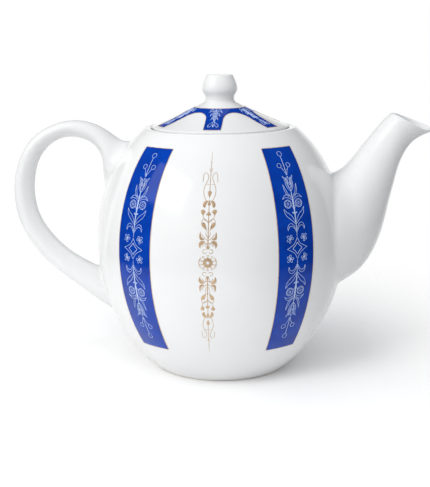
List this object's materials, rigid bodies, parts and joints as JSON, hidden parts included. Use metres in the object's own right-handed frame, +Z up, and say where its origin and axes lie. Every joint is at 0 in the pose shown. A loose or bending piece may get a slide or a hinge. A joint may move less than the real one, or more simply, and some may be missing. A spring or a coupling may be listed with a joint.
{
  "type": "teapot",
  "caption": "Egg-shaped white porcelain teapot with a loop handle, a curved pouring spout, blue ornament panels and a loose domed lid with a waisted knob.",
  "frame": {"origin": "on the pot's turning axis, in the plane that the foot ring stands on", "axes": "+Z up the turning axis, +X from the handle towards the spout, -Y towards the side that the picture shows"},
  "size_m": [0.2364, 0.14, 0.1642],
  "materials": {
    "porcelain": "clear gloss glaze over white porcelain",
    "cobalt_enamel": "gloss fired cobalt transfer"
  },
  "bodies": {
    "pot": {"body_shell": "porcelain", "spout": "porcelain", "handle": "porcelain", "panel_enamel_front_left": "cobalt_enamel", "panel_enamel_front_right": "cobalt_enamel", "panel_enamel_back_left": "cobalt_enamel", "panel_enamel_back_right": "cobalt_enamel"},
    "lid": {"lid_dome": "porcelain", "lid_skirt": "porcelain", "lid_knob": "porcelain", "lid_band_enamel": "cobalt_enamel"}
  },
  "joints": [
    {"name": "lid_lift", "type": "slide", "parent": "pot", "child": "lid", "axis": [0, 0, 1], "range_m": [0, 0.08]}
  ]
}
